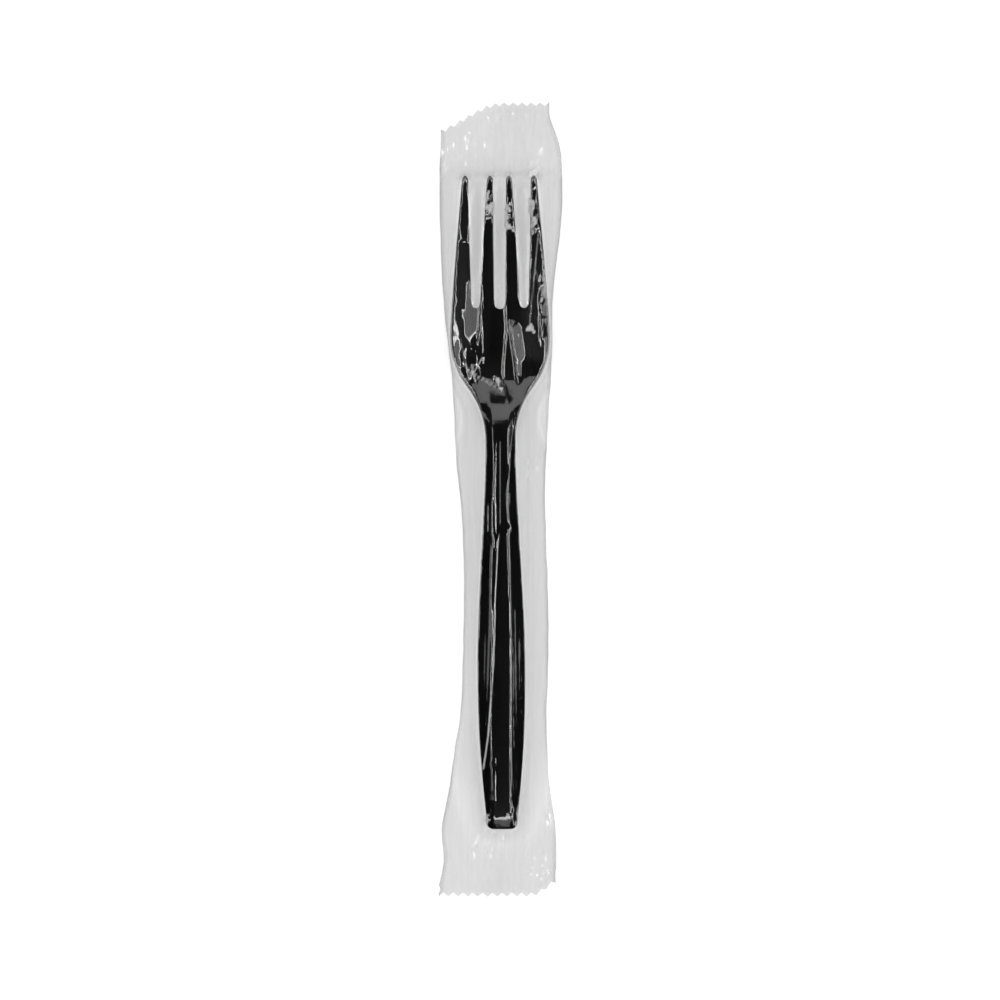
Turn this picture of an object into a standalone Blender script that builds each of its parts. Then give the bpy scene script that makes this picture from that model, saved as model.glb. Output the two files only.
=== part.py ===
"""A disposable fork sealed in a clear film pouch, lying flat on a table.

The fork is one moulding. The pouch is one sheet of film, folded into a tube round
the fork: its two long edges meet in a fin that is folded flat under the tube, and
its two ends are pressed flat and cut off with a toothed knife.

+Y runs from the handle's end to the tine tips and +Z is up. The origin is on the
table, under the middle of the pouch. Tables of sizes are in millimetres.
"""

import math

import bmesh
import bpy

MM = 0.001

# Fork
TIP_Y = 88.0
HANDLE_END_Y = -90.2
HANDLE_CORNER_RADIUS = 1.6
SLOT_ROOT_Y = 53.5
FORK_AXIS_X = 0.47
FORK_TURN = math.radians(0.23)
WALL = 1.7
TIP_WALL = 1.1
EDGE_BEVEL = 0.3
SHARP_EDGE = math.radians(60)
PANEL_SHARE = 0.42
FLANK_ROUNDNESS = 1.3
DISH_HALF_WIDTH = 13.0

# Film pouch
FILM = 0.04
LAYER_STEP = 0.09
FIN_ROOT_X = -1.5
FIN_WIDTH = 9.9
CRIMP_TOP_Y = 100.2
CRIMP_BOTTOM_Y = -100.0
POUCH_TOP_Y = 110.0
POUCH_BOTTOM_Y = -110.5
TOOTH_PITCH = 2.85
TOOTH_DEPTH = 1.2
KNIFE_HALF_WIDTH = 19.0
KNIFE_FAR_Y = 115.0
KNIFE_BOTTOM_Z = -5.0
KNIFE_HEIGHT = 10.0
FIN_STEPS = 3
FLOOR_STEPS = 4
ARCH_STEPS = 16

# Each table below gives a size, second, at a distance along Y, first.
FORK_HALF_WIDTH = [
    (-90.2, 4.2), (-87.7, 4.3), (-82.0, 4.85), (-74.0, 5.55), (-66.0, 6.15), (-55.0, 6.5),
    (-44.0, 6.6), (-33.0, 6.3), (-11.0, 5.15), (11.0, 4.15), (16.0, 4.1), (20.0, 4.45),
    (24.3, 5.5), (29.8, 8.1), (35.2, 11.3), (40.7, 13.0), (44.8, 13.25), (54.4, 12.7),
    (70.8, 11.5), (88.1, 10.0),
]
FORK_CREST = [
    (-90.2, 3.6), (-87.0, 4.7), (-75.0, 6.4), (-45.0, 8.7), (-15.0, 10.6), (8.0, 11.6),
    (17.0, 11.4), (23.0, 10.2), (29.0, 7.3), (34.0, 4.8), (39.0, 3.2), (46.0, 2.5), (52.0, 2.7),
    (62.0, 4.1), (75.0, 6.7), (88.1, 9.6),
]
HEAD_EDGE_RISE = [(20.0, 0.0), (28.0, 0.6), (36.0, 1.7), (44.0, 2.2), (54.0, 1.9), (88.0, 0.9)]
HANDLE_EDGE_DROP = [
    (-90.0, 0.9), (-80.0, 1.8), (-45.0, 2.5), (-20.0, 2.1), (0.0, 1.7), (15.0, 1.5), (24.0, 1.0),
    (32.0, 0.0),
]
MIDDLE_SLOT_EDGE = [(53.5, 1.5), (70.8, 1.65), (88.1, 1.78)]
OUTER_SLOT_INNER_EDGE = [(53.5, 5.3), (70.8, 4.45), (88.1, 3.3)]
OUTER_SLOT_OUTER_EDGE = [(53.5, 7.75), (70.8, 8.25), (88.1, 8.5)]
FORK_ROWS = [
    HANDLE_END_Y, -90.0, -89.4, -88.5, -87.2, -85, -82, -77, -72, -66, -60, -54, -48, -42, -36, -30,
    -24, -18, -12, -6, 0, 5, 10, 14, 17.5, 20, 22, 24, 26, 28, 30, 32, 34, 36, 38, 40, 42.5, 45, 47.5,
    50, SLOT_ROOT_Y, 56, 59, 62, 66, 70, 74, 78, 82, 85, 87.2, TIP_Y,
]

POUCH_LEFT = [
    (-110.5, -18.0), (-107.5, -17.1), (-103.0, -15.6), (-100.0, -15.1), (-90.4, -15.8), (-84.0, -14.5),
    (-68.6, -12.1), (-55.0, -10.2), (-28.0, -9.6), (-5.7, -9.9), (8.0, -11.5), (31.0, -12.7),
    (40.7, -13.8), (54.0, -15.2), (82.0, -16.3), (92.0, -16.3), (98.0, -15.9), (110.0, -15.9),
]
POUCH_RIGHT = [
    (-110.5, 15.4), (-98.6, 15.6), (-90.4, 15.5), (-78.0, 13.7), (-60.4, 13.0), (-38.5, 13.6),
    (2.5, 12.6), (22.9, 13.5), (35.2, 14.3), (40.0, 14.6), (46.0, 14.65), (54.4, 14.6), (64.0, 15.7),
    (81.7, 17.4), (92.6, 17.2), (96.2, 16.8), (99.7, 15.8), (104.0, 14.4), (106.5, 12.6), (110.0, 12.0),
]
POUCH_HEIGHT = [
    (-110.5, 0.09), (-100.0, 0.09), (-97.5, 1.2), (-94.0, 3.4), (-90.0, 5.2), (-86.0, 6.4),
    (-75.0, 8.2), (-45.0, 10.4), (-15.0, 12.0), (8.0, 12.9), (20.0, 12.8), (33.0, 9.9),
    (45.0, 8.3), (55.0, 8.2), (70.0, 9.2), (86.0, 11.7), (90.3, 11.4), (94.0, 6.6),
    (98.5, 1.4), (100.2, 0.09), (110.0, 0.09),
]
POUCH_SQUARENESS = [
    (-90.0, 3.0), (15.0, 3.0), (30.0, 5.0), (38.0, 9.0), (54.0, 9.0), (64.0, 5.0), (90.0, 3.5),
]
POUCH_ROWS = [
    -110.5, -107.5, -104, -100, -98.8, -97, -94.5, -92, -89, -86, -81, -75, -68, -60, -50, -40, -30, -20,
    -10, 0, 8, 15, 20, 25, 30, 35, 40, 46, 54, 60, 66, 73, 80, 85, 88, 91, 94, 96.5, 98.8, 100.2,
    105, 110,
]
TOP_CUT = [
    (-19.0, 100.6), (-13.5, 102.3), (-8.8, 104.9), (-3.8, 106.9), (-0.5, 107.95), (9.0, 108.0),
    (19.0, 109.15),
]
BOTTOM_CUT = [
    (-19.0, -107.9), (-14.0, -108.25), (9.0, -107.9), (11.4, -107.0), (14.0, -105.9), (19.0, -102.5),
]


def smoothly(table, at):
    """The table's value at a place, along a curve that never overshoots its points."""
    places = [place for place, value in table]
    values = [value for place, value in table]
    at = min(max(at, places[0]), places[-1])
    i = max(k for k in range(len(table) - 1) if places[k] <= at)
    slopes = [(values[k + 1] - values[k]) / (places[k + 1] - places[k]) for k in range(len(table) - 1)]

    def tangent(k):
        if k in (0, len(slopes)):
            return slopes[min(k, len(slopes) - 1)]
        before, after = slopes[k - 1], slopes[k]
        return 0.0 if before * after <= 0 else 2 * before * after / (before + after)

    step = places[i + 1] - places[i]
    t = (at - places[i]) / step
    return (
        (2 * t**3 - 3 * t**2 + 1) * values[i]
        + (t**3 - 2 * t**2 + t) * step * tangent(i)
        + (3 * t**2 - 2 * t**3) * values[i + 1]
        + (t**3 - t**2) * step * tangent(i + 1)
    )


def rising(t):
    """0 to 1, eased at both ends."""
    t = min(max(t, 0.0), 1.0)
    return t * t * (3 - 2 * t)


def material(name, colour, roughness, alpha=1.0):
    made = bpy.data.materials.new(name)
    made.use_nodes = True
    shader = made.node_tree.nodes["Principled BSDF"]
    shader.inputs["Base Color"].default_value = (*colour, 1.0)
    shader.inputs["Roughness"].default_value = roughness
    shader.inputs["Metallic"].default_value = 0.0
    shader.inputs["Alpha"].default_value = alpha
    return made


def sheet_object(name, rows, is_hole=lambda row, column: False):
    """An object from rows of points in millimetres, with a face between each four neighbours."""
    bm = bmesh.new()
    grid = [[bm.verts.new([size * MM for size in point]) for point in row] for row in rows]
    for j in range(len(rows) - 1):
        for i in range(len(rows[j]) - 1):
            if not is_hole(j, i):
                bm.faces.new((grid[j][i], grid[j][i + 1], grid[j + 1][i + 1], grid[j + 1][i]))
    unused = [vert for vert in bm.verts if not vert.link_faces]
    bmesh.ops.delete(bm, geom=unused, context="VERTS")
    mesh = bpy.data.meshes.new(name)
    bm.to_mesh(mesh)
    bm.free()
    made = bpy.data.objects.new(name, mesh)
    bpy.context.scene.collection.objects.link(made)
    return made


# Fork. Its columns run the whole length, and those of the three slots stop at the slots' roots.
ARC_SHARES = [0.5 - 0.5 * math.cos(math.pi * k / 4) for k in range(5)]
TINE_SHARES = [0.0, 1 / 3, 2 / 3, 1.0]


def round_over(distance, radius):
    """How far a round corner has drawn back at a distance from its middle."""
    distance = min(max(distance, 0.0), radius)
    return radius - math.sqrt(radius**2 - distance**2)


def half_columns(y):
    """Distances from the fork's axis of one half's columns."""
    root = max(y, SLOT_ROOT_Y)
    middle = smoothly(MIDDLE_SLOT_EDGE, root)
    inner = smoothly(OUTER_SLOT_INNER_EDGE, root)
    outer = smoothly(OUTER_SLOT_OUTER_EDGE, root)
    edge = smoothly(FORK_HALF_WIDTH, root)
    places = [middle * math.sin(math.pi * k / 4) for k in range(2)]
    places += [middle + share * (inner - middle) for share in TINE_SHARES[:-1]]
    places += [inner + share * (outer - inner) for share in ARC_SHARES[:-1]]
    places += [outer + share * (edge - outer) for share in TINE_SHARES]
    corner = round_over(HANDLE_CORNER_RADIUS - (y - HANDLE_END_Y), HANDLE_CORNER_RADIUS)
    narrowing = (smoothly(FORK_HALF_WIDTH, y) - corner) / edge
    return [place * narrowing for place in places]


HALF_KINDS = ["slot"] * 2 + ["tine"] * 3 + ["slot"] * 4 + ["tine"] * 3
KINDS = HALF_KINDS[::-1] + HALF_KINDS


def drawn_back(y, x, columns):
    """How far a point of an end row moves back along Y, so that tines and slots end round."""
    x = abs(x)
    middle, inner, outer, edge = columns[2], columns[5], columns[9], columns[-1]
    if y == TIP_Y:
        low, high = (middle, inner) if x <= inner else (outer, edge)
        return round_over(abs(x - (low + high) / 2), (high - low) / 2)
    if y == SLOT_ROOT_Y and x < middle:
        return math.sqrt(middle**2 - x**2)
    if y == SLOT_ROOT_Y and inner < x < outer:
        radius = (outer - inner) / 2
        return math.sqrt(radius**2 - (x - (inner + outer) / 2) ** 2)
    return 0.0


def fork_height(x, y):
    """The top surface: a dished head, and a handle with a flat panel and sloping flanks."""
    share = abs(x) / smoothly(FORK_HALF_WIDTH, y)
    flank = max((share - PANEL_SHARE) / (1 - PANEL_SHARE), 0.0)
    dish = smoothly(HEAD_EDGE_RISE, y) * (x / DISH_HALF_WIDTH) ** 2
    return smoothly(FORK_CREST, y) + dish - smoothly(HANDLE_EDGE_DROP, y) * flank**FLANK_ROUNDNESS


def fork_rows():
    rows = []
    for y in FORK_ROWS:
        half = half_columns(y)
        across = [-x for x in half[:0:-1]] + half
        row = []
        for x in across:
            place = y - drawn_back(y, x, half)
            row.append((x, place, fork_height(x, place)))
        rows.append(row)
    return rows


def make_fork():
    root = FORK_ROWS.index(SLOT_ROOT_Y)
    fork = sheet_object("fork", fork_rows(), lambda row, column: row >= root and KINDS[column] == "slot")
    wall = fork.vertex_groups.new(name="wall")
    for vert in fork.data.vertices:
        thinning = rising((vert.co.y / MM - SLOT_ROOT_Y) / (TIP_Y - SLOT_ROOT_Y))
        wall.add([vert.index], 1 - thinning * (1 - TIP_WALL / WALL), "REPLACE")
    shell = fork.modifiers.new("wall", "SOLIDIFY")
    shell.thickness = WALL * MM
    shell.offset = -1.0
    shell.use_even_offset = True
    shell.vertex_group = wall.name
    bevel = fork.modifiers.new("edges", "BEVEL")
    bevel.limit_method = "ANGLE"
    bevel.angle_limit = SHARP_EDGE
    bevel.width = EDGE_BEVEL * MM
    bevel.segments = 1
    fork.location.x = FORK_AXIS_X * MM
    fork.rotation_euler.z = FORK_TURN
    fork.data.shade_smooth()
    fork.data.materials.append(material("black_plastic", (0.012, 0.012, 0.013), 0.3))
    return fork


# Film pouch. A layer's height is that of the middle of the film.
TABLE_LAYER = FILM / 2
FIN_LAYER = TABLE_LAYER + LAYER_STEP
FLOOR_LAYER = FIN_LAYER + LAYER_STEP


def steps(start, end, count):
    return [start + (end - start) * k / count for k in range(count + 1)]


def pouch_row(y):
    """One turn round the tube, from the fin's lower edge to its upper edge, as (x, y, z)."""
    left, right = smoothly(POUCH_LEFT, y), smoothly(POUCH_RIGHT, y)
    height, squareness = smoothly(POUCH_HEIGHT, y), smoothly(POUCH_SQUARENESS, y)
    fin_edge = FIN_ROOT_X + FIN_WIDTH
    row = [(x, y, TABLE_LAYER) for x in steps(fin_edge, FIN_ROOT_X, FIN_STEPS)]
    row += [(x, y, TABLE_LAYER) for x in steps(FIN_ROOT_X, left, FLOOR_STEPS)[1:]]
    for angle in steps(math.pi, 0.0, ARCH_STEPS)[1:-1]:
        side = math.copysign(abs(math.cos(angle)) ** (2 / squareness), math.cos(angle))
        x = (left + right) / 2 + (right - left) / 2 * side
        floor = TABLE_LAYER + (FLOOR_LAYER - TABLE_LAYER) * rising((x - FIN_ROOT_X) / 2 + 1)
        row.append((x, y, floor + height * math.sin(angle) ** (2 / 3)))
    row += [(x, y, FLOOR_LAYER) for x in steps(right, FIN_ROOT_X, FLOOR_STEPS)]
    radius = LAYER_STEP / 2
    for angle in (60, 120):
        turn = math.radians(angle)
        row.append((FIN_ROOT_X - radius * math.sin(turn), y, FIN_LAYER + radius * (1 + math.cos(turn))))
    row += [(x, y, FIN_LAYER) for x in steps(FIN_ROOT_X, fin_edge, FIN_STEPS)]
    return row


def knife(name, cut, outside_y):
    """A hidden block past one end of the pouch, whose near side is the toothed cut."""
    count = round(2 * KNIFE_HALF_WIDTH / (TOOTH_PITCH / 2))
    outline = []
    for k in range(count + 1):
        x = -KNIFE_HALF_WIDTH + k * TOOTH_PITCH / 2
        y = smoothly(cut, x)
        outline.append((x, y + math.copysign(TOOTH_DEPTH / 2, (-1) ** k)))
    outline += [(outline[-1][0], outside_y), (outline[0][0], outside_y)]
    bm = bmesh.new()
    face = bm.faces.new([bm.verts.new((x * MM, y * MM, KNIFE_BOTTOM_Z * MM)) for x, y in outline])
    made = bmesh.ops.extrude_face_region(bm, geom=[face])
    raised = [part for part in made["geom"] if isinstance(part, bmesh.types.BMVert)]
    bmesh.ops.translate(bm, verts=raised, vec=(0, 0, KNIFE_HEIGHT * MM))
    bmesh.ops.recalc_face_normals(bm, faces=bm.faces)
    mesh = bpy.data.meshes.new(name)
    bm.to_mesh(mesh)
    bm.free()
    block = bpy.data.objects.new(name, mesh)
    bpy.context.scene.collection.objects.link(block)
    block.hide_render = True
    block.display_type = "WIRE"
    return block


def make_pouch():
    pouch = sheet_object("film_pouch", [pouch_row(y) for y in POUCH_ROWS])
    film = pouch.modifiers.new("film", "SOLIDIFY")
    film.thickness = FILM * MM
    film.offset = 0.0
    knives = [("top_knife", TOP_CUT, KNIFE_FAR_Y), ("bottom_knife", BOTTOM_CUT, -KNIFE_FAR_Y)]
    for name, cut, outside_y in knives:
        toothed_cut = pouch.modifiers.new(name, "BOOLEAN")
        toothed_cut.operation = "DIFFERENCE"
        toothed_cut.solver = "EXACT"
        toothed_cut.object = knife(name, cut, outside_y)
    pouch.data.shade_smooth()
    pouch.data.materials.append(material("clear_film", (0.85, 0.85, 0.85), 0.1, alpha=0.3))
    return pouch


for old in list(bpy.data.objects):
    bpy.data.objects.remove(old)
make_fork()
make_pouch()
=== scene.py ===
import math
import random

import bmesh
import bpy
import numpy as np
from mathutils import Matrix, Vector, noise
from mathutils.bvhtree import BVHTree
from mathutils.geometry import delaunay_2d_cdt


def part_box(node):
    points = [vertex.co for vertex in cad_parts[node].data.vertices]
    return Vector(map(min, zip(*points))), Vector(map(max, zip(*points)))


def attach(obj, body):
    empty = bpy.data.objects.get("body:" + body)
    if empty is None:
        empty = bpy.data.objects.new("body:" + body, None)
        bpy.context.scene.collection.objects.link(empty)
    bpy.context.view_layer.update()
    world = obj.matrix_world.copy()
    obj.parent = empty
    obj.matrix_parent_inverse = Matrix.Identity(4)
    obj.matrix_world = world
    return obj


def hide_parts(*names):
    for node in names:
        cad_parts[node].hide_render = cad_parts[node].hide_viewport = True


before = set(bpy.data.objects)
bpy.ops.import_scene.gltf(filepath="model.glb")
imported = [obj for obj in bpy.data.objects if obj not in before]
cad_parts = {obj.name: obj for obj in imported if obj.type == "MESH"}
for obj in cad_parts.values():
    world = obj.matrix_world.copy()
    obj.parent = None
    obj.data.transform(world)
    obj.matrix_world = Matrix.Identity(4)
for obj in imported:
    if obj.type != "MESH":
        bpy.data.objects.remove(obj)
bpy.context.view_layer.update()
MM = 0.001


# ---------------------------------------------------------------------------
# Fork
# One shot of black polystyrene, satin from the mould, with soft edges. Its shape
# is the frame's own, so the new mesh is a merged and rounded copy of that node.
# ---------------------------------------------------------------------------
class Value:
    """A material's socket. Python's operators on it add Math nodes to the material."""

    def __init__(self, shader, socket):
        self.shader = shader
        self.socket = socket

    def maths(self, operation, *terms):
        return self.shader.add("ShaderNodeMath", {"operation": operation}, dict(enumerate(terms)))

    def __add__(self, other):
        return self.maths("ADD", self, other)

    def __radd__(self, other):
        return self.maths("ADD", other, self)

    def __sub__(self, other):
        return self.maths("SUBTRACT", self, other)

    def __rsub__(self, other):
        return self.maths("SUBTRACT", other, self)

    def __mul__(self, other):
        return self.maths("MULTIPLY", self, other)

    def __rmul__(self, other):
        return self.maths("MULTIPLY", other, self)

    def __pow__(self, other):
        return self.maths("POWER", self, other)


class Shader:
    """A new material's nodes, with the material's output ready for its surface."""

    def __init__(self, name):
        self.material = bpy.data.materials.new(name)
        self.material.use_nodes = True
        self.tree = self.material.node_tree
        self.tree.nodes.clear()
        self.output = self.tree.nodes.new("ShaderNodeOutputMaterial")

    def add(self, kind, settings, sockets, output=0):
        """A node of a kind: its settings come first, then its sockets' values or links."""
        node = self.tree.nodes.new(kind)
        for name, setting in settings.items():
            setattr(node, name, setting)
        for name, value in sockets.items():
            if isinstance(value, Value):
                self.tree.links.new(value.socket, node.inputs[name])
            else:
                node.inputs[name].default_value = value
        return Value(self, node.outputs[output])

    def noise(self, place, scale, detail=2.0, roughness=0.5):
        sockets = {"Vector": place, "Scale": scale, "Detail": detail, "Roughness": roughness}
        return self.add("ShaderNodeTexNoise", {}, sockets, "Fac")

    def spread(self, value, low, high, to_low=0.0, to_high=1.0):
        """The value's stretch from low to high, eased onto another and held at both ends."""
        sockets = {"Value": value, "From Min": low, "From Max": high, "To Min": to_low, "To Max": to_high}
        return self.add("ShaderNodeMapRange", {"interpolation_type": "SMOOTHSTEP"}, sockets)

    def bump(self, height, strength, distance):
        sockets = {"Height": height, "Strength": strength, "Distance": distance}
        return self.add("ShaderNodeBump", {}, sockets)

    def finish(self, surface):
        self.tree.links.new(surface.socket, self.output.inputs["Surface"])
        return self.material


def black_plastic():
    """Satin black: a fine spark-eroded grain, faint flow marks and slightly uneven gloss."""
    grain_scale, grain_depth = 2600.0, 0.03 * MM
    flow_scale = (160.0, 26.0, 60.0)
    darkest, palest = (0.001, 0.001, 0.0011, 1.0), (0.006, 0.006, 0.0063, 1.0)
    smoothest, roughest = 0.26, 0.36
    shader = Shader("black_plastic")
    place = shader.add("ShaderNodeTexCoord", {}, {}, "Object")
    grain = shader.noise(place, grain_scale, 3.0, 0.6)
    along_flow = shader.add("ShaderNodeMapping", {}, {"Vector": place, "Scale": flow_scale})
    flow = shader.noise(along_flow, 1.0, 3.0)
    mottle = shader.spread(grain * 0.7 + flow * 0.3, 0.35, 0.68)
    blend = {"Factor": mottle, 6: darkest, 7: palest}
    sockets = {
        "Base Color": shader.add("ShaderNodeMix", {"data_type": "RGBA"}, blend, 2),
        "Roughness": shader.spread(flow, 0.3, 0.7, smoothest, roughest),
        "Specular IOR Level": 0.14,
        "Normal": shader.bump(grain, 0.25, grain_depth),
    }
    return shader.finish(shader.add("ShaderNodeBsdfPrincipled", {}, sockets))


def fork_copy():
    """The moulding with its triangles joined to four-sided faces and its edges softened."""
    bm = bmesh.new()
    bm.from_mesh(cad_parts["fork"].data)
    bmesh.ops.remove_doubles(bm, verts=bm.verts, dist=0.001 * MM)
    bmesh.ops.join_triangles(
        bm, faces=bm.faces, angle_face_threshold=math.radians(30), angle_shape_threshold=math.radians(80)
    )
    mesh = bpy.data.meshes.new("moulded_fork")
    bm.to_mesh(mesh)
    bm.free()
    mesh.shade_smooth()
    fork = bpy.data.objects.new("moulded_fork", mesh)
    bpy.context.scene.collection.objects.link(fork)
    rounding = fork.modifiers.new("rounding", "SUBSURF")
    rounding.levels = 1
    rounding.render_levels = 1
    return fork


fork = fork_copy()
fork.data.materials.append(black_plastic())
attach(fork, "root")
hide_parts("fork")


# ---------------------------------------------------------------------------
# Film pouch
# One web of clear polypropylene film, folded into a tube with a fin seal under the
# fork, pressed flat by ribbed jaws at both ends and cut off with a toothed knife.
# Between its seals it is pulled over the fork and creased.
# ---------------------------------------------------------------------------
FILM = 0.04 * MM
LAYER_STEP = 0.09 * MM
HALF_TEETH = 24
HALF_TOOTH = 1.425 * MM
FIN_HALF_TEETH = 7
ROOT_HALF_TEETH = 10
COLUMNS_PER_HALF_TOOTH_ON_TOP = 4
FIN_ROOT_X = -1.6 * MM
FIN_WIDTH = FIN_HALF_TEETH * HALF_TOOTH
CRIMP_DEPTH = 8.4 * MM
CRIMP_ROWS = 22
TUBE_ROWS = 312
TOOTH_DEPTH = 1.1 * MM
TOP_CUT_DROP = 8.5 * MM
LOW_CUT_RISE = 4.6 * MM
RIB_PITCH = 1.3 * MM
RIB_HEIGHT = 0.02 * MM
SEALED_TOP = 3.2 * LAYER_STEP
SIDE_FOLD_HEIGHT = 0.3 * MM
FILM_ON_FORK = 0.15 * MM
LOWEST_TOP = 0.45 * MM
SLACK_HEIGHT = 9 * MM
HEAD_START_Y = 15 * MM
HEAD_BLEND = 22 * MM
NECK_Y = 25 * MM
NECK_REACH = 13 * MM
TINE_TIPS_Y = 88 * MM
SETTLING_ROUNDS = 2600

pouch_low, pouch_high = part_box("film_pouch")


def eased(t):
    t = np.clip(t, 0.0, 1.0)
    return t * t * (3.0 - 2.0 * t)


def pouch_outline():
    """The CAD pouch's left edge and right edge, each as a sorted table of places along y.

    Near both ends the rows lean with the cuts and few points share a y, so they are left
    out, and a row counts for an edge only where it reaches well out towards it. The
    flared lower left corner is the CAD box's own corner.
    """
    points_in_long_row, left_reach, right_reach = 100, 0.5, 0.7
    rows = {}
    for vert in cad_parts["film_pouch"].data.vertices:
        rows.setdefault(round(vert.co.y, 4), []).append(vert.co.x)
    rows = sorted((y, min(xs), max(xs)) for y, xs in rows.items() if len(xs) > points_in_long_row)
    left = [tuple(pouch_low.yx)] + [(y, low) for y, low, high in rows if low < left_reach * pouch_low.x]
    right = [(y, high) for y, low, high in rows if high > right_reach * pouch_high.x]
    return left, right


def smooth_over(table, at, reach):
    """The table's value at places, averaged over a reach to each side."""
    y, values = np.array(table).T
    shifts = np.linspace(-reach, reach, 9)
    return np.mean([np.interp(at + shift, y, values) for shift in shifts], axis=0)


def wander(at, pitch, seed):
    """A smooth random line between -1 and 1, with a pitch."""
    return np.array([noise.noise((v / pitch, seed, 0.5 * seed)) for v in np.ravel(at)]).reshape(np.shape(at))


def crumple(x, y, spacing, stretch, seed):
    """Flat facets between sharp creases: random heights at scattered points joined by triangles.

    The heights are 0 to 1. The facets are as long as their spacing times the stretch.
    """
    draw = random.Random(seed)
    width, length = 50 * MM, 230 * MM
    count = int(width * length / (spacing * spacing * stretch))
    points = []
    for _ in range(count):
        across = draw.uniform(-width / 2, width / 2)
        along = draw.uniform(-length / 2, length / 2) / stretch
        points.append(Vector((across, along)))
    corners = [(-width, -length), (width, -length), (width, length), (-width, length)]
    points += [Vector((cx, cy / stretch)) for cx, cy in corners]
    verts, _, faces, _, _, _ = delaunay_2d_cdt(points, [], [], 0, 1e-7)
    heights = [draw.random() for _ in verts]
    tree = BVHTree.FromPolygons([(v.x, v.y, h * spacing) for v, h in zip(verts, heights)], faces)
    down = Vector((0.0, 0.0, -1.0))
    found = np.zeros(x.size)
    for k, (px, py) in enumerate(zip(x.ravel(), y.ravel())):
        hit = tree.ray_cast(Vector((px, py / stretch, 1.0)), down)[0]
        found[k] = hit.z / spacing if hit else 0.5
    return found.reshape(x.shape)


# Ridges pressed into the film over the fork, in millimetres: the points along each one,
# how far its flanks reach towards -x and +x, and its height.
FOLDS = [
    ([(-0.5, -11), (-1.4, -30)], 0.35, 0.35, 0.11),
    ([(-1.4, -30), (-1.7, -39), (-2.1, -47)], 0.6, 0.5, 0.18),
    ([(-2.1, -47), (-2.5, -55), (-3.3, -66), (-4.6, -76)], 0.4, 0.35, 0.1),
    ([(3.1, -27), (3.3, -49), (3.3, -68)], 0.3, 0.35, 0.1),
    ([(3.3, -68), (3.6, -78), (4.0, -88)], 0.35, 0.8, 0.17),
    ([(4.4, 23), (3.2, 12), (2.2, 0), (2.8, -6), (3.8, -9)], 0.35, 0.5, 0.14),
    ([(2.6, -10), (2.9, -18)], 0.4, 1.5, 0.5),
    ([(2.9, -18), (3.1, -27)], 0.35, 0.9, 0.3),
    ([(-3.2, -1), (-3.3, -12), (-3.6, -30)], 0.35, 0.35, 0.1),
    ([(-1.9, 0), (-1.6, -13)], 0.35, 0.35, 0.11),
    ([(-3.9, -8), (-4.2, -40), (-4.4, -60)], 0.35, 0.35, 0.1),
    ([(-2.6, -14), (-3.0, -40), (-3.9, -62)], 0.3, 0.3, 0.09),
    ([(4.6, -30), (5.0, -60), (4.9, -84)], 0.35, 0.35, 0.1),
    ([(5.8, -40), (5.9, -70)], 0.3, 0.3, 0.09),
    ([(-0.9, 16), (-1.2, 0), (-1.0, -10)], 0.3, 0.3, 0.09),
    ([(-4.9, 60), (-4.1, 41), (-4.7, 37)], 0.4, 0.5, 0.15),
    ([(-5.1, 58), (-5.6, 46)], 3.8, 0.4, 1.25),
    ([(1.6, 53), (1.9, 46), (1.1, 35), (2.2, 27)], 0.5, 0.4, 0.16),
    ([(9.3, 69), (8.4, 56), (8.2, 47)], 0.45, 0.4, 0.15),
    ([(7.6, 45.6), (10.0, 45.4)], 0.8, 0.8, 0.26),
    ([(3.2, 46.5), (4.2, 39.5)], 0.5, 3.0, 1.05),
    ([(4.0, 40.5), (4.9, 33)], 0.4, 1.7, 0.6),
    ([(-9.5, 36), (-7.1, 34.8), (-3.0, 32), (0.4, 29.8)], 0.35, 0.35, 0.12),
    ([(-7.1, 34.8), (-6.2, 38.5), (-8.0, 44)], 0.35, 0.35, 0.13),
    ([(-7.1, 34.8), (-6.0, 31)], 0.35, 0.35, 0.13),
    ([(-1.2, 33.3), (0.3, 31.5)], 0.7, 0.7, 0.3),
    ([(-0.1, 30.9), (0.9, 29.8)], 0.5, 0.5, 0.25),
]


# Where the film is crinkled finely: each oval's middle, its reach across and along, and
# how deep the crinkles are. The places are in millimetres.
CRINKLED = [
    ((-2.9, 79.5), (2.6, 5.0), 1.3), ((2.6, 77.0), (2.8, 6.5), 1.3), ((9.0, 77.5), (2.8, 6.0), 1.3),
    ((-9.5, 72.5), (2.2, 3.5), 0.6), ((12.4, 52.0), (1.9, 18.0), 1.2), ((-10.5, 38.0), (3.0, 6.0), 0.8),
    ((-6.9, 34.5), (2.0, 2.5), 0.8), ((-4.0, -88.0), (1.6, 3.0), 0.8), ((4.4, -87.0), (1.4, 4.0), 0.8),
]


# Sharp kinks painted white, partly film turned white by creasing and partly a painted highlight, each one a
# triangle's corners in millimetres.
HIGHLIT_WHITE_KINKS = [
    ((-1.5, 33.6), (0.6, 32.6), (-0.1, 31.1)), ((-0.4, 31.1), (1.2, 30.3), (0.7, 29.4)),
    ((7.2, 46.4), (8.7, 48.2), (10.3, 45.2)), ((-4.4, 79.4), (-1.5, 81.2), (-1.9, 78.0)),
    ((1.2, 74.4), (1.5, 76.6), (4.4, 73.0)), ((7.8, 82.4), (9.8, 80.6), (8.3, 76.8)),
    ((8.6, 78.0), (10.7, 75.6), (9.5, 74.6)), ((2.4, 80.2), (3.6, 78.0), (1.6, 79.0)),
    ((-7.6, 35.4), (-6.8, 34.9), (-7.2, 33.6)), ((-3.9, 82.8), (-2.6, 84.0), (-2.9, 82.0)),
]
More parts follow.
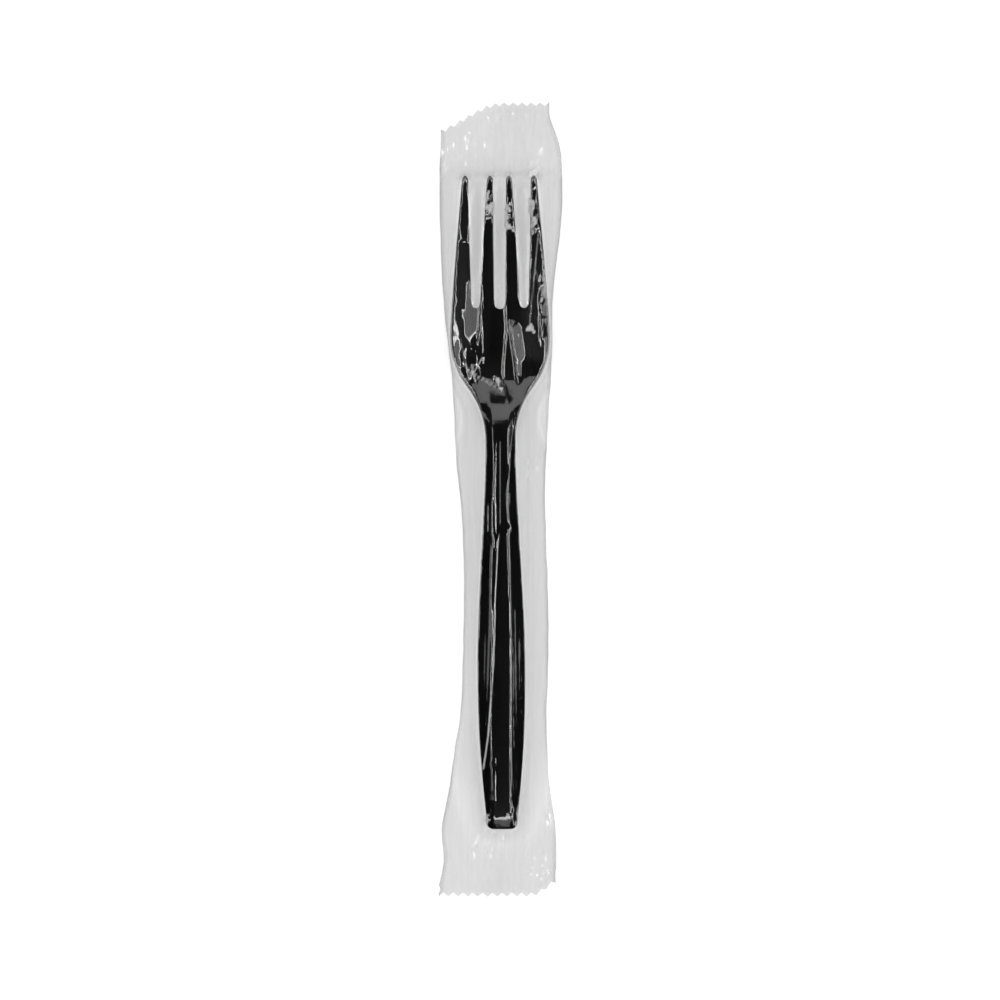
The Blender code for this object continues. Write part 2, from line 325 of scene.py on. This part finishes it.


# Thin creases painted white, partly film turned white by creasing and partly a painted highlight: the points
# along each one in millimetres, and how white it is.
HIGHLIT_CREASE_REACH = 0.32
HIGHLIT_WHITE_CREASES = [
    ([(0.0, -9.7), (-0.5, -15.2), (-1.1, -28.8), (-1.4, -37.0)], 0.35),
    ([(-1.4, -37.0), (-1.4, -43.8), (-2.2, -54.8)], 0.6),
    ([(-2.2, -54.8), (-3.0, -64.6), (-4.2, -73.3)], 1.0),
    ([(3.0, -28.3), (3.3, -37.0), (3.0, -58.9), (3.0, -76.6), (3.3, -84.8), (4.1, -89.2)], 0.4),
    ([(-3.0, -1.5), (-3.0, -8.6)], 0.4), ([(-1.9, -1.2), (-1.9, -9.7)], 0.35),
    ([(-0.8, -1.5), (-0.8, -6.4)], 0.35), ([(0.3, 15.4), (0.3, -6.4)], 0.3),
    ([(-10.7, 44.1), (-8.5, 34.6)], 0.45), ([(-9.6, 36.8), (-7.1, 34.3), (-4.4, 38.9)], 0.7),
    ([(-8.4, 32.6), (-7.1, 34.3), (0.8, 29.9)], 0.45), ([(-7.4, 37.0), (-7.1, 34.3), (-6.4, 32.0)], 0.7),
    ([(10.9, 73.4), (9.8, 63.0), (8.3, 47.7)], 0.4), ([(9.8, 63.0), (12.8, 52.6)], 0.35),
    ([(12.4, 66.8), (12.6, 58.1), (13.1, 50.4)], 0.35),
]


# Where tiny dents glint: each oval's middle and its reach across and along, in
# millimetres, and the number of dents.
DENTED = [
    ((-9.5, 96.0), (7.0, 9.0), 18), ((10.5, 91.0), (2.5, 7.0), 8), ((3.0, 105.0), (7.0, 2.0), 6),
    ((9.0, 9.5), (2.0, 3.0), 6), ((-3.0, -95.0), (5.0, 5.0), 14), ((11.0, -101.0), (3.5, 3.0), 10),
    ((14.0, -88.0), (0.7, 2.0), 5),
]


def beside_line(x, y, start, end):
    """Each place's side of a straight stretch, over 0 towards +x, and its distance to it."""
    along = np.subtract(end, start)
    length = math.hypot(*along)
    along = along / length
    dx, dy = x - start[0], y - start[1]
    travel = np.clip(dx * along[0] + dy * along[1], 0.0, length)
    away = np.hypot(dx - travel * along[0], dy - travel * along[1])
    side = (dx * along[1] - dy * along[0]) * math.copysign(1.0, along[1])
    return side, away


def pressed_folds(x, y):
    """How high the ridges stand at each place."""
    height = np.zeros(x.shape)
    for points, left_reach, right_reach, rise in FOLDS:
        for start, end in zip(points, points[1:]):
            side, away = beside_line(x / MM, y / MM, start, end)
            reach = np.where(side > 0, right_reach, left_reach)
            height = np.maximum(height, rise * np.clip(1.0 - away / reach, 0.0, 1.0))
    return height * MM


def highlit_white_creases(x, y):
    """How white the thin creases are painted at each place, from 0 to 1: partly film turned white by
    creasing, partly a painted highlight.
    """
    highlit_whiteness = np.zeros(x.shape)
    for points, share in HIGHLIT_WHITE_CREASES:
        for start, end in zip(points, points[1:]):
            away = beside_line(x / MM, y / MM, start, end)[1]
            highlit_whiteness = np.maximum(highlit_whiteness, share * np.clip(1.0 - away / HIGHLIT_CREASE_REACH, 0.0, 1.0))
    return highlit_whiteness


def fork_tops(x, y):
    """The height of the fork's top below each place, and -1 where there is none."""
    bm = bmesh.new()
    bm.from_mesh(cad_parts["fork"].data)
    tree = BVHTree.FromBMesh(bm)
    bm.free()
    tops = np.full(x.size, -1.0)
    down = Vector((0.0, 0.0, -1.0))
    for k, (px, py) in enumerate(zip(x.ravel(), y.ravel())):
        hit = tree.ray_cast(Vector((px, py, 1.0)), down)[0]
        if hit:
            tops[k] = hit.z
    return tops.reshape(x.shape)


def pulled_over(height, floor, hug, x, y):
    """A skin held at its border, pulled tight, pressed down and lying on what is under it.

    Each round moves every point to the mean of its four neighbours, the nearer ones
    counting more, then down by the hug, a curvature in 1/m, but never below the floor.
    """
    across = 1.0 / np.gradient(x, axis=1)[1:-1, 1:-1] ** 2
    along = 1.0 / np.gradient(y, axis=0)[1:-1, 1:-1] ** 2
    total = 2.0 * (across + along)
    for _ in range(SETTLING_ROUNDS):
        beside = across * (height[1:-1, :-2] + height[1:-1, 2:])
        pulled = beside + along * (height[:-2, 1:-1] + height[2:, 1:-1])
        height[1:-1, 1:-1] = np.maximum((pulled - hug[1:-1, 1:-1]) / total, floor[1:-1, 1:-1])
    return height


def blurred(values, rounds):
    """The values, each evened out with its neighbours in every round."""
    for _ in range(rounds):
        for axis in (0, 1):
            values = (np.roll(values, 1, axis) + 2 * values + np.roll(values, -1, axis)) / 4
    return values


def patch(x, y, centre, reach):
    """1 in the middle of an oval and 0 outside it."""
    away = np.hypot((x / MM - centre[0]) / reach[0], (y / MM - centre[1]) / reach[1])
    return eased(1.6 * (1.0 - away))


def inside(x, y, corners):
    """1 inside a triangle whose corners run clockwise, and 0 outside it."""
    sides = [
        (bx - ax) * (y - ay) - (by - ay) * (x - ax) < 0.0
        for (ax, ay), (bx, by) in zip(corners, corners[1:] + corners[:1])
    ]
    return np.all(sides, axis=0) * 1.0


def headward(y):
    """0 on the handle, 1 on the head, and between them at the neck."""
    return eased((y - HEAD_START_Y) / HEAD_BLEND)


def crease_heights(x, y, crinkled):
    """The film's creases over the fork: facets on the head, long ones on the handle, and crinkles."""
    head = crumple(x, y, 7 * MM, 1.2, 5) * 0.45 + crumple(x, y, 3.2 * MM, 1.2, 8) * 0.25
    beside_panel = eased((np.abs(x - 0.5 * MM) - 1.2 * MM) / (1.5 * MM))
    fine_on_handle = crumple(x, y, 1.3 * MM, 14.0, 9) * 0.22 * beside_panel
    handle = crumple(x, y, 4.2 * MM, 6.0, 6) * 0.25 + fine_on_handle
    creased = head * headward(y) + handle * (1 - headward(y)) + crumple(x, y, 1.6 * MM, 1.5, 12) * 0.1
    over_neck = patch(x, y, (0.5, 27.0), (11.0, 9.0))
    creased = creased * (1.0 - 0.8 * over_neck)
    return creased + crumple(x, y, 1.3 * MM, 1.3, 15) * crinkled


def whitening_and_highlight(x, y, z, crinkled):
    """How white the film is painted, from 0 to 1: where it bends sharply, in kinks and along thin creases.
    This is partly film turned white by creasing and partly a painted highlight.
    """
    soft_bend, bend_range = 900.0, 3000.0
    bend = np.abs(np.gradient(np.gradient(z, axis=1), axis=1)) / np.gradient(x, axis=1) ** 2
    bend += np.abs(np.gradient(np.gradient(z, axis=0), axis=0)) / np.gradient(y, axis=0) ** 2
    whitened_and_highlit = (0.35 + 1.4 * crinkled) * eased((bend - soft_bend) / bend_range)
    whitened_and_highlit = np.maximum(whitened_and_highlit, sum(inside(x / MM, y / MM, corners) for corners in HIGHLIT_WHITE_KINKS))
    return np.clip(np.maximum(whitened_and_highlit, highlit_white_creases(x, y)), 0.0, 1.0)


def glinting(x, y, z):
    """The top sheet with tiny tilted dents in it, and how glossy they are, from 0 to 1."""
    gentlest, steepest = 0.21, 0.27
    rise, rim_gloss = 0.08 * MM, 0.6
    draw = random.Random(4)
    dented = np.zeros(x.shape)
    for centre, reach, count in DENTED:
        for _ in range(count):
            angle, away = draw.uniform(0, 2 * math.pi), math.sqrt(draw.random())
            px = (centre[0] + reach[0] * away * math.cos(angle)) * MM
            py = (centre[1] + reach[1] * away * math.sin(angle)) * MM
            j, i = np.unravel_index(np.argmin(np.hypot(x - px, y - py)), x.shape)
            if not (1 < j < x.shape[0] - 2 and 1 < i < x.shape[1] - 2):
                continue
            around = np.s_[j - 1 : j + 2, i - 1 : i + 2]
            slope = draw.choice((-1, 1)) * draw.uniform(gentlest, steepest)
            z[around] = z[j, i] + slope * (x[around] - x[j, i]) + rise
            dented[around] = np.maximum(dented[around], rim_gloss)
            dented[j, i] = 1.0
    return z, dented


def tooth(x, left, right):
    """The knife's zig-zag at a place across the pouch, from -0.5 to 0.5."""
    turns = (x - left) / (right - left) * HALF_TEETH / 2
    return np.abs(turns % 1.0 * 2.0 - 1.0) - 0.5


class Pouch:
    """The folded film's rows and columns: where each of the web's points comes to lie.

    At each row, left and right are the pouch's two edges, and tube is 1 where the film is
    an open tube and 0 where it is pressed flat.
    """

    def __init__(self):
        self.inner = pouch_high.y - CRIMP_DEPTH
        self.rows = self.row_places()
        left, right = pouch_outline()
        self.left = smooth_over(left, self.rows, 1.5 * MM) + 0.16 * MM * wander(self.rows, 6 * MM, 3.1)
        self.right = smooth_over(right, self.rows, 1.5 * MM) + 0.16 * MM * wander(self.rows, 5 * MM, 7.4)
        opening = 14 * MM
        self.tube = 1.0 - eased((np.abs(self.rows) - (self.inner - opening)) / opening)

    def row_places(self):
        """Each row's y, before the rows near the ends lean with the cuts."""
        inner = self.inner
        bottom = np.linspace(pouch_low.y, -inner, CRIMP_ROWS + 1)
        tube = np.linspace(-inner, inner, TUBE_ROWS + 1)
        top = np.linspace(inner, pouch_high.y, CRIMP_ROWS + 1)
        return np.concatenate([bottom, tube[1:-1], top])

    def at_half_tooth(self, n):
        """Where a tooth's place across the flat end lies at each row."""
        return self.left + (self.right - self.left) * n / HALF_TEETH

    def root(self):
        """The fin's root, where the tube's two edges meet."""
        return self.at_half_tooth(ROOT_HALF_TEETH) * (1 - self.tube) + FIN_ROOT_X * self.tube

    def fin_edge(self):
        flat = self.at_half_tooth(ROOT_HALF_TEETH + FIN_HALF_TEETH)
        return flat * (1 - self.tube) + (FIN_ROOT_X + FIN_WIDTH) * self.tube

    def stretch(self, start, end, columns):
        shares = np.linspace(0.0, 1.0, columns + 1)
        return start[:, None] + (end - start)[:, None] * shares

    def slanted(self, x):
        """Each point's y: the rows near the ends lean with the toothed cuts."""
        y = np.repeat(self.rows[:, None], x.shape[1], axis=1)
        zigzag = TOOTH_DEPTH * tooth(x, self.left[:, None], self.right[:, None])
        top_cut = pouch_high.y - 0.5 * TOOTH_DEPTH - TOP_CUT_DROP * eased((1.0 * MM - x) / (22 * MM))
        low_cut = pouch_low.y + 0.5 * TOOTH_DEPTH + LOW_CUT_RISE * eased((x - 9 * MM) / (9 * MM))
        top_share = np.clip((y - self.inner) / CRIMP_DEPTH, 0.0, 1.0)
        low_share = np.clip((-self.inner - y) / CRIMP_DEPTH, 0.0, 1.0)
        y = y + top_share * (top_cut + zigzag - pouch_high.y)
        return y + low_share * (low_cut - zigzag - pouch_low.y)

    def fold_height(self, seed):
        """The height of a side fold above the table at each row."""
        free = eased((self.inner - np.abs(self.rows)) / (25 * MM))
        return SIDE_FOLD_HEIGHT + free * MM * (0.03 + 0.03 * wander(self.rows, 17 * MM, seed))

    def lift(self, x, y):
        """How far the flat ends curl off the table."""
        top = eased((y - 90 * MM) / (19 * MM)) * (1.6 + 0.7 * np.sin(x / MM / 7.0 + 0.6))
        low = eased((-y - 92 * MM) / (17 * MM)) * (1.3 + 0.6 * np.sin(x / MM / 6.0 + 2.0))
        return MM * (top + low)

    def ribs(self, y):
        """The wave that the ribbed jaws press into the ends."""
        pressed = eased((np.abs(y) - self.inner) / (0.6 * MM))
        return RIB_HEIGHT * pressed * np.cos(2 * math.pi * y / RIB_PITCH)

    def top_columns(self):
        """The x of the top's points, which are gathered over the fork in the open tube."""
        gathering = 0.4
        shares = np.linspace(0.0, 1.0, HALF_TEETH * COLUMNS_PER_HALF_TOOTH_ON_TOP + 1)
        gathered = gathering * np.sin(2 * math.pi * shares) / (2 * math.pi)
        shares = shares + self.tube[:, None] * gathered
        return self.left[:, None] + (self.right - self.left)[:, None] * shares

    def draped(self, x, y, tops, between):
        """The top sheet before it is creased: held at its border and pulled down over the fork."""
        handle_hug, head_hug, neck_hug, tip_hug = 60.0, 12.0, 500.0, 600.0
        border = np.full(x.shape, SEALED_TOP)
        border[:, 0], border[:, -1] = self.fold_height(11.3), self.fold_height(23.9)
        sealed = np.abs(self.rows) >= self.inner
        height = border + SLACK_HEIGHT * self.tube[:, None] * between
        height[sealed] = border[sealed]
        floor = np.maximum(tops, LOWEST_TOP)
        past_tips = eased((y - TINE_TIPS_Y) / (2 * MM))
        neck = eased(1.0 - np.abs(y - NECK_Y) / NECK_REACH)
        hug = handle_hug + (head_hug - handle_hug) * headward(y) + neck_hug * neck + tip_hug * past_tips
        tube = np.nonzero(~sealed)[0]
        band = slice(tube[0] - 1, tube[-1] + 2)
        height[band] = pulled_over(height[band], floor[band], hug[band], x[band], y[band])
        return height

    def top_sheet(self):
        """The top's points, how white it is painted at each one (partly film turned white by creasing,
        partly a painted highlight), and how taut.
        """
        x = self.top_columns()
        y = self.slanted(x)
        tops = fork_tops(x, y) + FILM_ON_FORK
        between = np.sin(np.linspace(0, math.pi, x.shape[1]))
        height = self.draped(x, y, tops, between)
        free = eased((self.inner - np.abs(y)) / (7 * MM)) * eased(between / 0.3)
        over_fork = eased(1.4 * blurred((tops > 0.5 * MM) * 1.0, 7))
        strength = free * (0.1 + 0.9 * over_fork)
        crinkled = sum(depth * patch(x, y, centre, reach) for centre, reach, depth in CRINKLED)
        creased = height + MM * strength * crease_heights(x, y, crinkled) + free * pressed_folds(x, y)
        creased = np.maximum(creased, tops)
        whitened_and_highlit = whitening_and_highlight(x, y, creased, crinkled)
        lift = self.lift(x, y)
        creased, dented = glinting(x, y, creased + lift)
        return x, y, creased - lift, free * over_fork * whitened_and_highlit, np.maximum(over_fork, dented)

    def under_sheet(self, start, end, columns, layer_at_root, fold, fold_at_end):
        """One half of the underside, from the fin's root to a side fold or back, as the top is given."""
        x = self.stretch(start, end, columns)
        y = self.slanted(x)
        loose = eased((self.inner - np.abs(y)) / (15 * MM))
        waves = crumple(x, y, 4 * MM, 3.5, 31) * 0.35 * MM
        from_root = np.linspace(0, 1, columns + 1) if fold_at_end else np.linspace(1, 0, columns + 1)
        to_fold = np.clip(1.0 - (1.0 - from_root) * 3.0, 0.0, 1.0) ** 2
        height = layer_at_root + loose * waves * eased(from_root * 3.0)
        flat = np.zeros(x.shape)
        return x, y, height + (fold[:, None] - layer_at_root) * to_fold, flat, flat

    def fin_sheet(self, start, end, layer):
        """One layer of the fin, which lies flat under the tube."""
        x = self.stretch(start, end, FIN_HALF_TEETH)
        flat = np.zeros(x.shape)
        return x, self.slanted(x), np.full(x.shape, layer), flat, flat

    def folded(self):
        """The whole web's points, row by row, from the fin's lower edge round to its upper edge."""
        root, fin_edge = self.root(), self.fin_edge()
        top = self.top_sheet()
        table, fin = FILM / 2, FILM / 2 + LAYER_STEP
        floor = fin + LAYER_STEP
        left = self.under_sheet(root, self.left, ROOT_HALF_TEETH, table, top[2][:, 0], True)
        right_columns = HALF_TEETH - ROOT_HALF_TEETH
        right = self.under_sheet(self.right, root, right_columns, floor, top[2][:, -1], False)
        lower_fin, upper_fin = self.fin_sheet(fin_edge, root, table), self.fin_sheet(root, fin_edge, fin)
        sheets = [lower_fin, left, top, right, upper_fin]
        parts = [sheets[0]] + [[axis[:, 1:] for axis in sheet] for sheet in sheets[1:]]
        x, y, z, whitened_and_highlit, taut = [np.concatenate(axis, axis=1) for axis in zip(*parts)]
        return x, y, z + self.lift(x, y) + self.ribs(y), whitened_and_highlit, taut


def film_mirror(columns):
    """How much light the web throws back at each of its columns, where it is seen squarely.

    The fin's layers are welded and nearly clear. The side folds are seen edge on.
    """
    fin, under, top, side_fold = 0.004, 0.112, 0.082, 0.22
    right_columns = HALF_TEETH - ROOT_HALF_TEETH
    bands = [(FIN_HALF_TEETH, fin), (ROOT_HALF_TEETH, under)]
    bands += [(HALF_TEETH * COLUMNS_PER_HALF_TOOTH_ON_TOP, top), (right_columns, under)]
    values = [share for count, share in bands for _ in range(count)]
    values += [fin] * (columns - len(values))
    values[FIN_HALF_TEETH + ROOT_HALF_TEETH] = side_fold
    values[columns - 1 - FIN_HALF_TEETH - right_columns] = side_fold
    return values


def folded_film():
    """The web as a grid laid along its folds, with the marks that its material reads."""
    x, y, z, whitened_and_highlit, taut = Pouch().folded()
    rows, columns = x.shape
    bm = bmesh.new()
    web = bm.loops.layers.uv.new("web")
    bmesh.ops.create_grid(bm, x_segments=columns - 1, y_segments=rows - 1, size=1.0)
    across, along = (columns - 1) / 2, (rows - 1) / 2
    mirror = bm.verts.layers.float.new("mirror")
    # The painted highlight on creases and kinks, partly film turned white by creasing, is kept at each point
    # for the material.
    highlight_whitening = bm.verts.layers.float.new("highlight_whitening")
    tension = bm.verts.layers.float.new("taut")
    shares = film_mirror(columns)
    folds = np.cumsum([FIN_HALF_TEETH, ROOT_HALF_TEETH, HALF_TEETH * COLUMNS_PER_HALF_TOOTH_ON_TOP])
    folds = {*folds, columns - 1 - FIN_HALF_TEETH}
    steps = np.hypot(np.diff(x), np.diff(z))
    travel = np.concatenate([np.zeros((rows, 1)), np.cumsum(steps, axis=1)], axis=1)
    flat, column = {}, {}
    for vert in bm.verts:
        i, j = round((vert.co.x + 1) * across), round((vert.co.y + 1) * along)
        vert.co = x[j, i], y[j, i], z[j, i]
        vert[mirror] = shares[i]
        vert[highlight_whitening] = whitened_and_highlit[j, i]
        vert[tension] = taut[j, i]
        flat[vert] = travel[j, i], y[j, i]
        column[vert] = i
    for edge in bm.edges:
        ends = [column[vert] for vert in edge.verts]
        edge.smooth = not (ends[0] == ends[1] and ends[0] in folds)
    for face in bm.faces:
        for loop in face.loops:
            loop[web].uv = flat[loop.vert]
    mesh = bpy.data.meshes.new("folded_film")
    bm.to_mesh(mesh)
    bm.free()
    mesh.shade_smooth()
    film = bpy.data.objects.new("folded_film", mesh)
    bpy.context.scene.collection.objects.link(film)
    wall = film.modifiers.new("wall", "SOLIDIFY")
    wall.thickness = FILM
    wall.offset = 0.0
    return film


def clear_film():
    """Clear glossy film, which mirrors more at a slant.

    The mirror attribute is how much light it stops squarely. Where creases and kinks whiten the film it is
    painted white, partly as film turned white by creasing and partly as a painted highlight that shows from
    every side. Taut is 1 where it is smooth and glossy and 0 where it is slack and duller.
    """
    line_scale, speckle_scale, wrinkle_depth = (1100.0, 90.0, 1100.0), 3200.0, 0.04 * MM
    # The paler grey tints the gloss of taut film and is also the colour of the creases painted white as
    # highlights.
    slack_grey, gloss_and_highlight_grey = (0.36, 0.36, 0.36, 1.0), (0.92, 0.92, 0.92, 1.0)
    shader = Shader("clear_film")
    place = shader.add("ShaderNodeTexCoord", {}, {}, "Object")
    drawn = shader.add("ShaderNodeMapping", {}, {"Vector": place, "Scale": line_scale})
    drawn_lines = shader.noise(drawn, 1.0, 3.0, 0.6)
    speckle = shader.noise(place, speckle_scale, 2.0, 0.7)
    squarely = shader.add("ShaderNodeAttribute", {"attribute_name": "mirror"}, {}, "Fac")
    highlight_whitening = shader.add("ShaderNodeAttribute", {"attribute_name": "highlight_whitening"}, {}, "Fac")
    taut = shader.add("ShaderNodeAttribute", {"attribute_name": "taut"}, {}, "Fac")
    # Painted highlight: where creases and kinks are painted white, the film turns pale, matte and nearly
    # opaque, so they look bright from every side; partly this is film turned white by creasing.
    white = highlight_whitening * shader.spread(speckle, 0.35, 0.65, 0.5, 1.0)
    texture = drawn_lines * 0.6 + speckle * 0.4
    wrinkled = shader.bump(texture, 0.22, wrinkle_depth)
    slant = shader.add("ShaderNodeLayerWeight", {}, {"Blend": 0.5, "Normal": wrinkled}, "Facing")
    gloss_and_highlight = shader.spread(0.67 * taut + white, 0.0, 1.0)
    blend = {"Factor": gloss_and_highlight, 6: slack_grey, 7: gloss_and_highlight_grey}
    sockets = {
        "Base Color": shader.add("ShaderNodeMix", {"data_type": "RGBA"}, blend, 2),
        "Metallic": 1 - shader.spread(white, 0.0, 0.3),
        "Roughness": shader.spread(drawn_lines, 0.3, 0.7, 0.3, 0.36) - 0.26 * taut + 0.4 * white,
        "Normal": wrinkled,
    }
    gloss = shader.add("ShaderNodeBsdfPrincipled", {}, sockets)
    clear = shader.add("ShaderNodeBsdfTransparent", {}, {"Color": (1.0, 1.0, 1.0, 1.0)})
    uneven = shader.spread(texture, 0.3, 0.7, 0.9, 1.1)
    stopped = squarely * uneven + 0.8 * slant**5 + 0.95 * white
    return shader.finish(shader.add("ShaderNodeMixShader", {}, {0: stopped, 1: clear, 2: gloss}))


film = folded_film()
film.data.materials.append(clear_film())
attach(film, "root")
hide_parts("film_pouch")


# ---------------------------------------------------------------------------
# Studio
# A white, faintly glowing table under a dark ceiling. Soft panels hang on all four
# sides, with a bright strip inside three of them, so that the film's flats stay clear
# and its creases catch the light.
# ---------------------------------------------------------------------------
def white_table():
    half_width, glow_strength = 2.0, 0.635
    bm = bmesh.new()
    bmesh.ops.create_grid(bm, x_segments=1, y_segments=1, size=half_width)
    mesh = bpy.data.meshes.new("table")
    bm.to_mesh(mesh)
    bm.free()
    table = bpy.data.objects.new("table", mesh)
    bpy.context.scene.collection.objects.link(table)
    shader = Shader("white_table")
    white = {"Base Color": (0.85, 0.85, 0.85, 1.0), "Roughness": 0.8, "Specular IOR Level": 0.0}
    glow = {"Emission Color": (1.0, 1.0, 1.0, 1.0), "Emission Strength": glow_strength}
    table.data.materials.append(shader.finish(shader.add("ShaderNodeBsdfPrincipled", {}, white | glow)))


def soft_box(name, place, size, brightness):
    """A rectangular light that faces the origin and looks equally bright whatever its size.

    Its sizes are the one across and the one up and down, seen from the origin.
    """
    light = bpy.data.lights.new(name, "AREA")
    light.shape = "RECTANGLE"
    light.size, light.size_y = size
    light.energy = brightness * math.pi * size[0] * size[1]
    lamp = bpy.data.objects.new(name, light)
    lamp.location = place
    lamp.rotation_euler = Vector(place).to_track_quat("Z", "Y").to_euler()
    bpy.context.scene.collection.objects.link(lamp)


def camera_above(centre, view_height, lens):
    """A camera that looks straight down and sees a square of the view's height."""
    data = bpy.data.cameras.new("camera")
    data.lens = lens
    data.sensor_width = 36.0
    data.clip_end = 20.0
    camera = bpy.data.objects.new("camera", data)
    camera.location = centre[0], centre[1], centre[2] + lens / data.sensor_width * view_height
    bpy.context.scene.collection.objects.link(camera)
    bpy.context.scene.camera = camera


white_table()
soft_box("left_panel", (-0.62, 0.0, 0.78), (0.9, 0.36), 0.75)
soft_box("right_panel", (0.62, 0.0, 0.78), (0.9, 0.36), 0.95)
soft_box("far_panel", (0.05, 0.787, 0.774), (0.8, 0.41), 0.85)
soft_box("near_panel", (0.0, -0.72, 0.75), (0.6, 0.2), 0.6)
soft_box("left_strip", (-0.4, 0.05, 0.9), (0.8, 0.1), 6.0)
soft_box("right_strip", (0.43, -0.05, 0.88), (0.8, 0.1), 6.0)
soft_box("near_strip", (0.0, -0.6, 0.83), (0.8, 0.12), 4.0)
camera_above((0.27 * MM, -0.14 * MM, 5 * MM), 273.2 * MM, 135.0)

world = bpy.data.worlds.new("ceiling")
world.use_nodes = True
world.node_tree.nodes["Background"].inputs["Color"].default_value = (0.01, 0.01, 0.01, 1.0)
bpy.context.scene.world = world
bpy.context.scene.view_settings.view_transform = "Standard"
bpy.context.scene.cycles.transparent_max_bounces = 32
